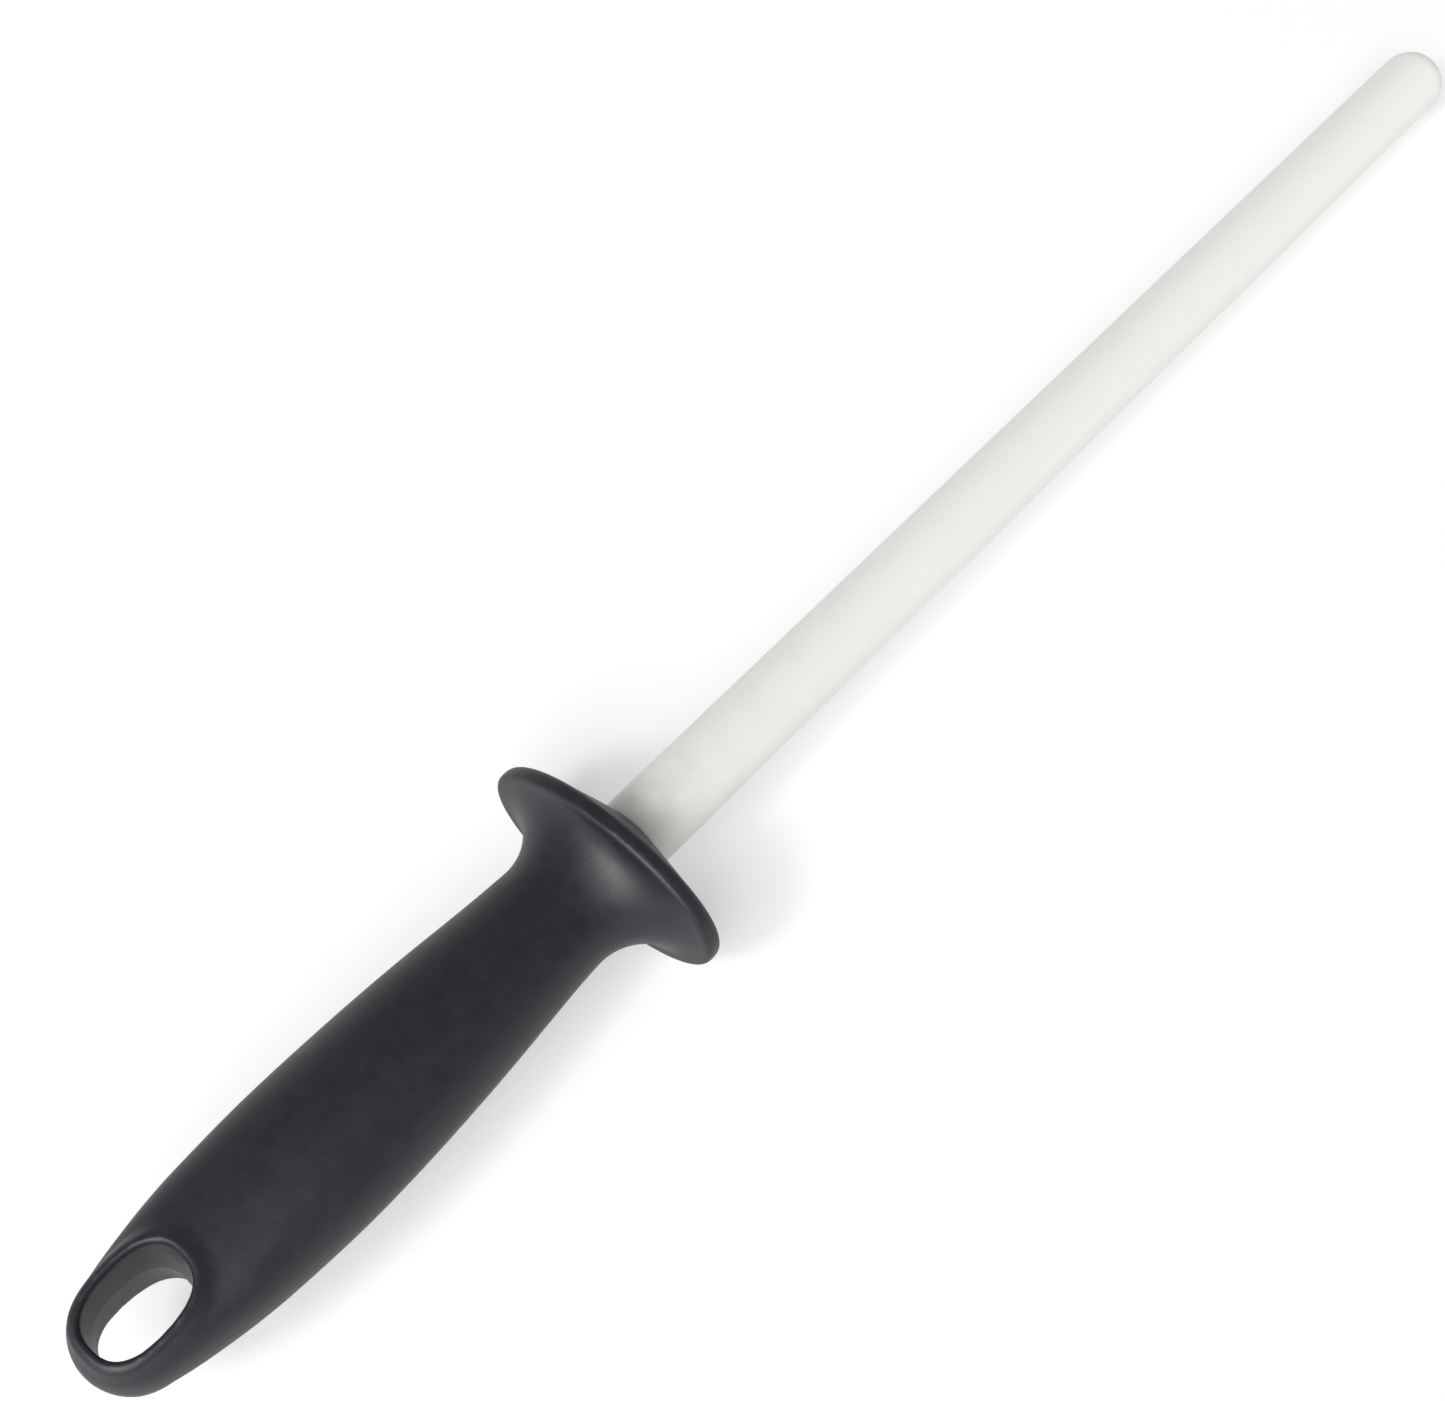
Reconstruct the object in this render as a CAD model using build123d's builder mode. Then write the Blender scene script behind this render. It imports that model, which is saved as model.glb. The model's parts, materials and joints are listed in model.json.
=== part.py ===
from build123d import *
import os
from math import cos, pi, radians, sin, sqrt, tan

# A ceramic honing rod for kitchen and butcher's knives, in millimetres.
# +X runs along the rod towards its tip, +Y across the width of the handle and +Z is square to the
# handle's broad face, which is also the way the hanging hole goes through.
# The origin is on the rod's axis, where the rod's shoulder sits on the front of the guard.

# Rod: a fired alumina bar with a domed tip and a stepped root
rod_radius = 6.0
rod_straight = 221.0            # from the guard's front to where the tip starts to round off
tip_length = 5.5                # the dome is a little flatter than half a ball
root_radius = 5.5               # the root is stepped down, so the rod's shoulder hides the glue
root_length = 58.0
root_chamfer = 0.5
key_depth = 0.45                # ring grooves that key the root into the glue
key_width = 3.0
key_places = (-18.0, -33.0, -48.0)

# Socket in the handle, and the glue that fills it
socket_radius = 5.75
socket_depth = 59.5
glue_short = 0.5                # how far the glue stops short of the socket's mouth

# Butt of the handle: round in plan, round along its edge, and thickening towards the grip
butt_x = -102.2
butt_radius = 8.4
butt_edge = 3.6                 # radius of the edge, seen from the side
butt_half_thickness = 4.4       # carried back to the very end
butt_slope = 0.135              # rise of each broad face for each millimetre along X
butt_square = 2.9               # power of the section's oval: 2 is an ellipse, more is squarer
butt_steps = (0.12, 0.5, 1.2, 2.3, 4.2, 6.6)

# Grip: (place along X, half width, half thickness, squareness)
neck_x = -16.5
neck_half_width = 9.57
neck_half_thickness = 7.9
grip_sections = (
    (-93.0, 8.95, 5.62, 2.85),
    (-88.3, 9.95, 6.22, 2.75),
    (-82.5, 10.90, 7.00, 2.6),
    (-75.0, 11.60, 7.90, 2.35),
    (-66.0, 12.09, 8.75, 2.15),
    (-55.6, 12.12, 9.20, 2.0),
    (-44.8, 11.67, 9.15, 2.0),
    (-33.7, 10.90, 8.75, 2.0),
    (-24.0, 10.05, 8.20, 2.0),
    (neck_x, neck_half_width, neck_half_thickness, 2.0),
)
fullness = 0.8                  # the handle stands this much further out on its -Y side

# Guard: an oval flange, flared out of the neck and crowned in front
guard_back_x = -6.5
guard_front_x = -3.5
guard_half_width = 21.1
guard_half_thickness = 13.8
guard_back_round = 0.7
guard_front_round = 1.3
guard_flat = 6.0                # width of the flats above and below, on which the tool lies still
flare_half_width = 20.0
flare_half_thickness = 12.7
flare_turns = (0, 20, 38, 54, 68, 80, 90)
crown_sections = ((guard_front_x, 19.6, 12.3), (-2.1, 14.8, 10.3), (-0.8, 9.8, 8.1), (0.0, 6.9, 6.7))

# Hanging hole through the butt, lined by a rim that stands up round it on both faces
hole_x = -91.9
hole_half_length = 7.25         # at the parting line, half way through
hole_half_width = 5.35
hole_square = 2.5
hole_draft = 3.0                # degrees, opening out to both faces
hole_end_scoop = 0.8            # how much shorter the hole is at the parting line, at its grip end
rim_width = 2.0
rim_height = 6.2                # from the middle plane to the crest, abreast of the hole's centre
rim_outer_round = 0.8
rim_inner_round = 0.6
rim_foot_round = 1.2            # where the rim's outer wall runs down into the butt

section_points = 28


def lean(x):
    """How far the middle of the handle's section stands towards -Y at x."""
    return -fullness * min(1.0, 0.3 - 0.7 * x / 60.0)


def oval(plane, half_length, half_width, square):
    """A closed face on a plane: an ellipse at a power of 2, and a squarer oval above it."""
    points = []
    for i in range(section_points):
        turn = 2 * pi * i / section_points
        along = half_length * abs(cos(turn)) ** (2 / square) * (1 if cos(turn) > 0 else -1)
        across = half_width * abs(sin(turn)) ** (2 / square) * (1 if sin(turn) > 0 else -1)
        points.append((along, across))
    with BuildSketch(plane) as sketch:
        with BuildLine():
            Spline(*points, periodic=True)
        make_face()
    return sketch.sketch


def section(x, half_width, half_thickness, square=2.0):
    """One cross-section of the handle, square to the rod."""
    plane = Plane(origin=(x, lean(x), 0), x_dir=(0, 1, 0), z_dir=(1, 0, 0))
    return oval(plane, half_width, half_thickness, square)


def hole_oval(margin, height=0.0, end_margin=0.0):
    """The hanging hole's outline at a height, grown by a margin all round and by more at its grip end."""
    plane = Plane(origin=(hole_x + end_margin / 2, lean(hole_x), height), x_dir=(1, 0, 0), z_dir=(0, 0, 1))
    return oval(plane, hole_half_length + margin + end_margin / 2, hole_half_width + margin, hole_square)


def on_rim_wall(edge):
    """Whether an edge runs round the outer wall of the hanging hole's rim, clear of the middle plane."""
    for part_way in (0.1, 0.5, 0.9):
        point = edge.position_at(part_way)
        along = abs(point.X - hole_x) / (hole_half_length + rim_width)
        across = abs(point.Y - lean(hole_x)) / (hole_half_width + rim_width)
        if abs(along**hole_square + across**hole_square - 1) > 0.04:
            return False
    return abs(edge.center().Z) > 1


# ---- ceramic rod: its outline from tip to root, revolved about X
with BuildPart() as ceramic_rod:
    with BuildSketch(Plane.XY):
        with BuildLine():
            outline = [(rod_straight, rod_radius), (0, rod_radius), (0, root_radius)]
            for place in key_places:
                outline += [
                    (place + key_width / 2, root_radius),
                    (place + key_width / 2 - key_depth, root_radius - key_depth),
                    (place - key_width / 2 + key_depth, root_radius - key_depth),
                    (place - key_width / 2, root_radius),
                ]
            outline += [(-root_length, root_radius), (-root_length, 0), (rod_straight + tip_length, 0)]
            Polyline(*outline)
            EllipticalCenterArc((rod_straight, 0), tip_length, rod_radius, start_angle=0, arc_size=90)
        make_face()
    revolve(axis=Axis.X)
    chamfer(ceramic_rod.faces().sort_by(Axis.X)[0].edges(), root_chamfer)
ceramic_rod.part.label = "ceramic_rod"

# ---- rim of the hanging hole: an oval ring, wedge-shaped like the butt, with rounded crests
with BuildPart(mode=Mode.PRIVATE) as hole_rim:
    extrude(hole_oval(rim_width), amount=2 * rim_height, both=True)
    for side in (1, -1):
        clear_height = side * 2 * rim_height
        opened = 2 * rim_height * tan(radians(hole_draft))
        end_height = rim_height + butt_slope * (hole_half_length + rim_width)
        end_margin = hole_end_scoop * (2 * rim_height / end_height - 1)
        parting_oval = hole_oval(0, 0, -hole_end_scoop)
        loft([parting_oval, hole_oval(opened, clear_height, end_margin)], mode=Mode.SUBTRACT)
        crest_plane = Plane(
            origin=(hole_x, 0, side * rim_height), x_dir=(1, 0, side * butt_slope), z_dir=(-side * butt_slope, 0, 1)
        )
        split(bisect_by=crest_plane, keep=Keep.BOTTOM if side > 0 else Keep.TOP)
        crest = hole_rim.faces().sort_by(Axis.Z)[-1 if side > 0 else 0]
        fillet(crest.outer_wire().edges(), rim_outer_round)
        crest = hole_rim.faces().sort_by(Axis.Z)[-1 if side > 0 else 0]
        fillet(crest.inner_wires()[0].edges(), rim_inner_round)

# ---- handle: grip, flared guard and rimmed hanging hole, moulded as one piece
with BuildPart() as handle:
    # butt and grip
    grip = [Vertex(butt_x, lean(butt_x), 0)]
    for step in butt_steps:
        half_width = sqrt(butt_radius**2 - (butt_radius - step) ** 2)
        round_off = sqrt(1 - (1 - min(step, butt_edge) / butt_edge) ** 2)
        half_thickness = (butt_half_thickness + butt_slope * step) * round_off
        grip.append(section(butt_x + step, half_width, half_thickness, 2 + (butt_square - 2) * round_off))
    for x, half_width, half_thickness, square in grip_sections:
        grip.append(section(x, half_width, half_thickness, square))
    loft(grip)

    # flare: a concave quarter round from the neck to the back of the guard
    flare = []
    for degrees in flare_turns:
        out = 1 - cos(radians(degrees))
        place = neck_x + (guard_back_x - neck_x) * sin(radians(degrees))
        half_width = neck_half_width + (flare_half_width - neck_half_width) * out
        half_thickness = neck_half_thickness + (flare_half_thickness - neck_half_thickness) * out
        flare.append(section(place, half_width, half_thickness))
    loft(flare)

    # edge of the guard
    extrude(section(guard_back_x, guard_half_width, guard_half_thickness), amount=guard_front_x - guard_back_x)
    full_width = handle.edges().filter_by(lambda edge: edge.bounding_box().size.Y > 2 * guard_half_width - 0.5)
    fillet(full_width.sort_by(Axis.X)[0], guard_back_round)
    full_width = handle.edges().filter_by(lambda edge: edge.bounding_box().size.Y > 2 * guard_half_width - 0.5)
    fillet(full_width.sort_by(Axis.X)[-1], guard_front_round)

    # two shallow flats across the guard's edge, where it touches a table
    flat_height = guard_half_thickness * sqrt(1 - (guard_flat / 2 / guard_half_width) ** 2)
    for side in (1, -1):
        with BuildSketch(Plane.XY.offset(side * flat_height)):
            with Locations(((guard_back_x + guard_front_x) / 2, 0)):
                Rectangle(guard_front_x - guard_back_x + 2, guard_half_width)
        extrude(amount=side * guard_front_round, mode=Mode.SUBTRACT)

    # crowned front
    loft([section(x, half_width, half_thickness) for x, half_width, half_thickness in crown_sections])

    # hanging hole, lined by its rim
    extrude(hole_oval(rim_width / 2), amount=2 * rim_height, both=True, mode=Mode.SUBTRACT)
    add(hole_rim.part)
    fillet(handle.edges().filter_by(on_rim_wall), rim_foot_round)

    # socket for the rod
    with BuildSketch(Plane.YZ.offset(-socket_depth)):
        Circle(socket_radius)
    extrude(amount=socket_depth + 1, mode=Mode.SUBTRACT)
handle.part.label = "handle"

# ---- glue: fills the socket round the root, with rings that stand in the root's grooves
with BuildPart() as epoxy_bond:
    with BuildSketch(Plane.YZ.offset(-socket_depth)):
        Circle(socket_radius)
    extrude(amount=socket_depth - glue_short)
    add(ceramic_rod.part, mode=Mode.SUBTRACT)
epoxy_bond.part.label = "epoxy_bond"

os.makedirs("parts", exist_ok=True)
export_step(ceramic_rod.part, "parts/ceramic_rod.step")
export_step(handle.part, "parts/handle.step")
export_step(epoxy_bond.part, "parts/epoxy_bond.step")
for piece in (ceramic_rod, handle, epoxy_bond):
    size = piece.part.bounding_box().size
    print(piece.part.label, "solids", len(piece.part.solids()), "volume", round(piece.part.volume, 1),
          "size", [round(v, 2) for v in size], "valid", piece.part.is_valid)
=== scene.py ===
import bpy
import bmesh
import json
from math import atan, radians
from mathutils import Matrix, Vector


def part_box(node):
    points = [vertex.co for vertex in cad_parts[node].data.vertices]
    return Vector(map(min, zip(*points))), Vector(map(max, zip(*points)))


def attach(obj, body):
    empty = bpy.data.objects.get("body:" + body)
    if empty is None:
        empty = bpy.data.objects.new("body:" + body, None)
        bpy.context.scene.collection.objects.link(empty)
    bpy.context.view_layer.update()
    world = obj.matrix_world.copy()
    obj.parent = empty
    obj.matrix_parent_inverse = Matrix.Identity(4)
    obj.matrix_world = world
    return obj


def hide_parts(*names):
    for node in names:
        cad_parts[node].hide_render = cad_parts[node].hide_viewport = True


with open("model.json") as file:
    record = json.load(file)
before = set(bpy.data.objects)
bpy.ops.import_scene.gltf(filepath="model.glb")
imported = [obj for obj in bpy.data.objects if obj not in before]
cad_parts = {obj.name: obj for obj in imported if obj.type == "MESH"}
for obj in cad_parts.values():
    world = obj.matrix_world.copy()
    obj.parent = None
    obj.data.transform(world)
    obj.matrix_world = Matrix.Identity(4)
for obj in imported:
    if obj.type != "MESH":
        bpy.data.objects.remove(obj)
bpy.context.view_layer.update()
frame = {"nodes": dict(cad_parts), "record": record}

# ---- Ceramic rod
# A bar of alumina, pressed, sintered near white and ground round, with a domed tip and a stepped
# root that is glued into the handle. It is the CAD solid as it stands: only its finish is added.
MM = 0.001
rod_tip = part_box("ceramic_rod")[1].x
cloud_size = 5 * MM             # faint clouds, which firing leaves
cloud_tone = 0.16               # how far the clouds shift the rod's tone along its length
ring_gap = 0.3 * MM             # real rings are 0.05 mm apart; these are coarser, so that they show
ring_run = 12.5 * MM            # how far round the rod a ring keeps its depth
grit_size = 0.25 * MM
rod_relief = 0.02 * MM          # height of the rings and the grit together


def linear(hex_colour):
    """An sRGB hex colour as the linear RGBA that a shader socket takes."""
    parts = [int(hex_colour[i:i + 2], 16) / 255 for i in (1, 3, 5)]
    return [c / 12.92 if c <= 0.04045 else ((c + 0.055) / 1.055) ** 2.4 for c in parts] + [1.0]


def add_node(owner, kind, settings=None, links=None):
    """A node in a material or world, with its settings, and its inputs linked or given values."""
    tree = owner.node_tree
    node = tree.nodes.new(kind)
    for name, value in (settings or {}).items():
        setattr(node, name, value)
    for name, value in (links or {}).items():
        if isinstance(value, bpy.types.NodeSocket):
            tree.links.new(value, node.inputs[name])
        else:
            node.inputs[name].default_value = value
    return node


def set_ramp(node, stops):
    """Gives a colour ramp its stops, as pairs of place and hex colour."""
    elements = node.color_ramp.elements
    while len(elements) < len(stops):
        elements.new(0.5)
    for element, (place, colour) in zip(elements, stops):
        element.position = place
        element.color = linear(colour)


# fired alumina, ground round: near white, with a soft satin shine and faint rings from the wheel;
# it is painted a little greyer towards the guard, as painted shade where the guard keeps light off
# it
alumina = bpy.data.materials.new("ground_alumina")
alumina.use_nodes = True
links = alumina.node_tree.links
shader = alumina.node_tree.nodes["Principled BSDF"]
shader.inputs["IOR"].default_value = 1.76
place = add_node(alumina, "ShaderNodeTexCoord").outputs["Object"]
axes = add_node(alumina, "ShaderNodeSeparateXYZ", links={"Vector": place})
# from 0 at the guard to 1 at the tip: this lays the guard's painted shade along the rod
along = add_node(
    alumina, "ShaderNodeMapRange",
    links={"Value": axes.outputs["X"], "From Min": 0.0, "From Max": rod_tip},
)
cloud = add_node(
    alumina, "ShaderNodeTexNoise", links={"Vector": place, "Scale": 1 / cloud_size, "Detail": 3.0}
)
clouds_and_guard_shade = add_node(
    alumina, "ShaderNodeMath", {"operation": "MULTIPLY_ADD"},
    {0: cloud.outputs["Fac"], 1: cloud_tone, 2: along.outputs["Result"]},
)
# the ramp's greyest stops fall near the guard, as painted shade; the clouds shift them at random
tone_and_painted_shade = add_node(alumina, "ShaderNodeValToRGB", links={"Fac": clouds_and_guard_shade.outputs["Value"]})
set_ramp(tone_and_painted_shade, [(0.05, "#c9cac4"), (0.14, "#dbdcd6"), (0.35, "#e0e1db"), (1.0, "#e5e6e1")])
links.new(tone_and_painted_shade.outputs["Color"], shader.inputs["Base Color"])

# the rings are noise drawn out round the rod, and the grit between them is even noise
drawn_out = add_node(
    alumina, "ShaderNodeMapping",
    links={"Vector": place, "Scale": (1 / ring_gap, 1 / ring_run, 1 / ring_run)},
)
rings = add_node(
    alumina, "ShaderNodeTexNoise",
    links={"Vector": drawn_out.outputs["Vector"], "Scale": 1.0, "Detail": 2.0},
)
grit = add_node(
    alumina, "ShaderNodeTexNoise", links={"Vector": place, "Scale": 1 / grit_size, "Detail": 2.0}
)
relief = add_node(
    alumina, "ShaderNodeMath", {"operation": "ADD"},
    {0: rings.outputs["Fac"], 1: grit.outputs["Fac"]},
)
bump = add_node(
    alumina, "ShaderNodeBump",
    links={"Height": relief.outputs["Value"], "Strength": 0.3, "Distance": rod_relief},
)
links.new(bump.outputs["Normal"], shader.inputs["Normal"])
sheen = add_node(
    alumina, "ShaderNodeMapRange",
    links={"Value": cloud.outputs["Fac"], "To Min": 0.38, "To Max": 0.48},
)
links.new(sheen.outputs["Result"], shader.inputs["Roughness"])
rod_finishes = frame["nodes"]["ceramic_rod"].data.materials
rod_finishes.clear()
rod_finishes.append(alumina)

# ---- Handle
# One moulding in black polypropylene: grip, flared guard and the rim of the hanging hole.
# It is the CAD solid on an even grid, eased most round the hanging hole, as the mould's blends are.
grid = 0.4 * MM
even_passes = 2                 # over the whole handle, to take out the grid's ripple
soft_passes = 16                # over the butt, outside the crest of the hanging hole's rim
soft_from = -79 * MM
soft_step = 0.2 * MM            # each of those passes starts this much further from the grip
crest_half_length = 8.3 * MM
crest_half_width = 6.4 * MM
crest_square = 2.5              # power of the crest's oval, squarer than an ellipse
flow_size = 2.5 * MM            # faint marks, which the plastic leaves as it flows in the mould
grain_size = 0.35 * MM          # the real grain is 0.1 mm across; this is coarser, so that it shows
grain_depth = 0.05 * MM
seam_inside = 0.06 * MM         # the parting line keeps its full height this far from the middle
seam_outside = 0.22 * MM        # and has run out this far from it
seam_height = 0.08 * MM
mounts = {mount["name"]: mount for mount in frame["record"]["mounts"]}
hole = mounts["hanging_hole"]["pos_m"]


def outside_crest(place):
    """Whether a place is outside the crest of the rim, seen square to the handle's broad face."""
    along = abs(place.x - hole[0]) / crest_half_length
    across = abs(place.y - hole[1]) / crest_half_width
    return along**crest_square + across**crest_square > 1


def even_out(shape, verts):
    """Draws each of a mesh's verts half way to the middle of its neighbours."""
    bmesh.ops.smooth_vert(
        shape, verts=verts, factor=0.5, use_axis_x=True, use_axis_y=True, use_axis_z=True
    )


merged = bmesh.new()
merged.from_mesh(frame["nodes"]["handle"].data)
bmesh.ops.remove_doubles(merged, verts=merged.verts, dist=0.001 * MM)
mesh = bpy.data.meshes.new("moulded_handle")
merged.to_mesh(mesh)
merged.free()
handle = bpy.data.objects.new("moulded_handle", mesh)
bpy.context.collection.objects.link(handle)
remesh = handle.modifiers.new("even_grid", "REMESH")
remesh.mode = "VOXEL"
remesh.voxel_size = grid
finished = handle.evaluated_get(bpy.context.evaluated_depsgraph_get())
mesh = bpy.data.meshes.new_from_object(finished)
handle.modifiers.clear()
handle.data = mesh

shape = bmesh.new()
shape.from_mesh(mesh)
for _ in range(even_passes):
    even_out(shape, shape.verts)
for step in range(soft_passes):
    limit = soft_from - step * soft_step
    butt = [vert for vert in shape.verts if vert.co.x < limit and outside_crest(vert.co)]
    even_out(shape, butt)
for face in shape.faces:
    face.smooth = True
shape.to_mesh(mesh)
shape.free()

# black polypropylene from a spark-eroded mould: matte, with a fine grain and a broad, soft shine;
# a raised parting line runs round its edge, where the mould's two halves met
plastic = bpy.data.materials.new("moulded_polypropylene")
plastic.use_nodes = True
links = plastic.node_tree.links
shader = plastic.node_tree.nodes["Principled BSDF"]
shader.inputs["IOR"].default_value = 1.49
place = add_node(plastic, "ShaderNodeTexCoord").outputs["Object"]
flow = add_node(
    plastic, "ShaderNodeTexNoise", links={"Vector": place, "Scale": 1 / flow_size, "Detail": 5.0}
)
tone = add_node(plastic, "ShaderNodeValToRGB", links={"Fac": flow.outputs["Fac"]})
set_ramp(tone, [(0.3, "#14161b"), (0.7, "#1b1d23")])
links.new(tone.outputs["Color"], shader.inputs["Base Color"])

# the grain lies over the parting line, which is a smooth step at the middle plane
grain = add_node(
    plastic, "ShaderNodeTexNoise", links={"Vector": place, "Scale": 1 / grain_size, "Detail": 3.0}
)
axes = add_node(plastic, "ShaderNodeSeparateXYZ", links={"Vector": place})
height = add_node(plastic, "ShaderNodeMath", {"operation": "ABSOLUTE"}, {0: axes.outputs["Z"]})
seam = add_node(
    plastic, "ShaderNodeMapRange", {"interpolation_type": "SMOOTHSTEP"},
    {"Value": height.outputs["Value"], "From Min": seam_outside, "From Max": seam_inside},
)
seam_bump = add_node(
    plastic, "ShaderNodeBump",
    links={"Height": seam.outputs["Result"], "Strength": 0.6, "Distance": seam_height},
)
bump = add_node(
    plastic, "ShaderNodeBump",
    links={
        "Height": grain.outputs["Fac"], "Strength": 0.45, "Distance": grain_depth,
        "Normal": seam_bump.outputs["Normal"],
    },
)
links.new(bump.outputs["Normal"], shader.inputs["Normal"])
sheen = add_node(
    plastic, "ShaderNodeMapRange",
    links={"Value": flow.outputs["Fac"], "To Min": 0.42, "To Max": 0.56},
)
links.new(sheen.outputs["Result"], shader.inputs["Roughness"])
mesh.materials.clear()
mesh.materials.append(plastic)
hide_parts("handle")
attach(handle, "root")

# ---- Epoxy bond
# Filled epoxy adhesive, squeezed out thin between the rod's root and its socket and cured hard.
# It stays the CAD solid. It is glossy where it set against the socket, and clouded by its filler.
filler_size = 0.5 * MM          # real filler is a fine powder: this is how wide its clouds are
epoxy = bpy.data.materials.new("cured_epoxy")
epoxy.use_nodes = True
links = epoxy.node_tree.links
shader = epoxy.node_tree.nodes["Principled BSDF"]
shader.inputs["IOR"].default_value = 1.55
shader.inputs["Roughness"].default_value = 0.3
place = add_node(epoxy, "ShaderNodeTexCoord").outputs["Object"]
filler = add_node(
    epoxy, "ShaderNodeTexNoise", links={"Vector": place, "Scale": 1 / filler_size, "Detail": 3.0}
)
tone = add_node(epoxy, "ShaderNodeValToRGB", links={"Fac": filler.outputs["Fac"]})
set_ramp(tone, [(0.35, "#a99a72"), (0.65, "#c3b48c")])
links.new(tone.outputs["Color"], shader.inputs["Base Color"])
bond_finishes = frame["nodes"]["epoxy_bond"].data.materials
bond_finishes.clear()
bond_finishes.append(epoxy)

# ---- Light table
# A plain sheet of white acrylic, lit softly from below. It is tilted so that the tool lies on it by
# the edge of its guard and the tip of its rod. It is a stage for the tool, and no part of it.
table_half = 40.0               # metres, so that its edge is a far horizon
clearance = 0.05 * MM
guard_foot = -5 * MM            # along the rod, where the edge of the guard touches down
guard_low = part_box("handle")[0].z
tip_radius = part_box("ceramic_rod")[1].z
tilt = atan((-tip_radius - guard_low) / (rod_tip - tip_radius - guard_foot))
shape = bmesh.new()
bmesh.ops.create_grid(shape, x_segments=1, y_segments=1, size=table_half)
bmesh.ops.rotate(shape, verts=shape.verts, matrix=Matrix.Rotation(-tilt, 3, "Y"))
bmesh.ops.translate(shape, verts=shape.verts, vec=(guard_foot, 0, guard_low - clearance))
mesh = bpy.data.meshes.new("light_table")
shape.to_mesh(mesh)
shape.free()
table = bpy.data.objects.new("light_table", mesh)
bpy.context.collection.objects.link(table)

# white acrylic, lit from below: matte, with a glow of its own that keeps shadows pale
acrylic = bpy.data.materials.new("white_acrylic")
acrylic.use_nodes = True
shader = acrylic.node_tree.nodes["Principled BSDF"]
shader.inputs["Base Color"].default_value = linear("#bcbcbc")
shader.inputs["Roughness"].default_value = 0.9
shader.inputs["Specular IOR Level"].default_value = 0.1
shader.inputs["Emission Color"].default_value = linear("#ffffff")
shader.inputs["Emission Strength"].default_value = 0.45
mesh.materials.append(acrylic)

# ---- Studio light
# A room that is dim overhead and pale round the sides, so that the black handle stays black on top
# and shows its edges. A broad key light shines from beyond the butt, on the -Y side. A small lamp
# straight beyond the butt puts the highlight on the back of the guard.
key_direction = Vector((0.68, 0.26, -0.66))
spark_place = Vector((-0.80, 0.04, 0.74))       # it faces the front of the guard
world = bpy.data.worlds.new("studio")
bpy.context.scene.world = world
world.use_nodes = True
background = world.node_tree.nodes["Background"]
facing = add_node(world, "ShaderNodeTexCoord")
upwards = add_node(world, "ShaderNodeSeparateXYZ", links={"Vector": facing.outputs["Generated"]})
sky = add_node(world, "ShaderNodeValToRGB", links={"Fac": upwards.outputs["Z"]})
set_ramp(sky, [(0.0, "#f4f4f4"), (0.1, "#dadada"), (0.25, "#b9b9b9"), (0.8, "#7f7f81")])
world.node_tree.links.new(sky.outputs["Color"], background.inputs["Color"])


def hang(light, place, direction):
    """Puts a light at a place in the scene, facing a direction."""
    lamp = bpy.data.objects.new(light.name, light)
    bpy.context.collection.objects.link(lamp)
    lamp.location = place
    lamp.rotation_mode = "QUATERNION"
    lamp.rotation_quaternion = direction.to_track_quat("-Z", "Y")


key = bpy.data.lights.new("key", "SUN")
key.angle = radians(45)
key.energy = 2.8
hang(key, (0, 0, 0), key_direction)

spark = bpy.data.lights.new("spark", "AREA")
spark.shape = "DISK"
spark.size = 0.25
spark.energy = 4.2
hang(spark, spark_place, -spark_place)

# ---- Camera
# It looks down at 55 degrees from beside the handle, along the rod, so that the back of the guard
# shows and the hanging hole is seen through. The lens is close to a normal one.
camera_place = Vector((-0.10874, -0.11471, 0.26382))
camera_right = Vector((0.65455, -0.75598, -0.00697))
camera_up = Vector((0.62477, 0.53571, 0.56805))
camera = bpy.data.cameras.new("camera")
camera.lens = 52.32
camera.sensor_width = 36.0
camera.clip_start = 0.01
stand = bpy.data.objects.new("camera", camera)
bpy.context.collection.objects.link(stand)
bpy.context.scene.camera = stand
facing = Matrix((camera_right, camera_up, camera_right.cross(camera_up))).transposed()
stand.matrix_world = Matrix.Translation(camera_place) @ facing.to_4x4()
bpy.context.scene.view_settings.view_transform = "Standard"
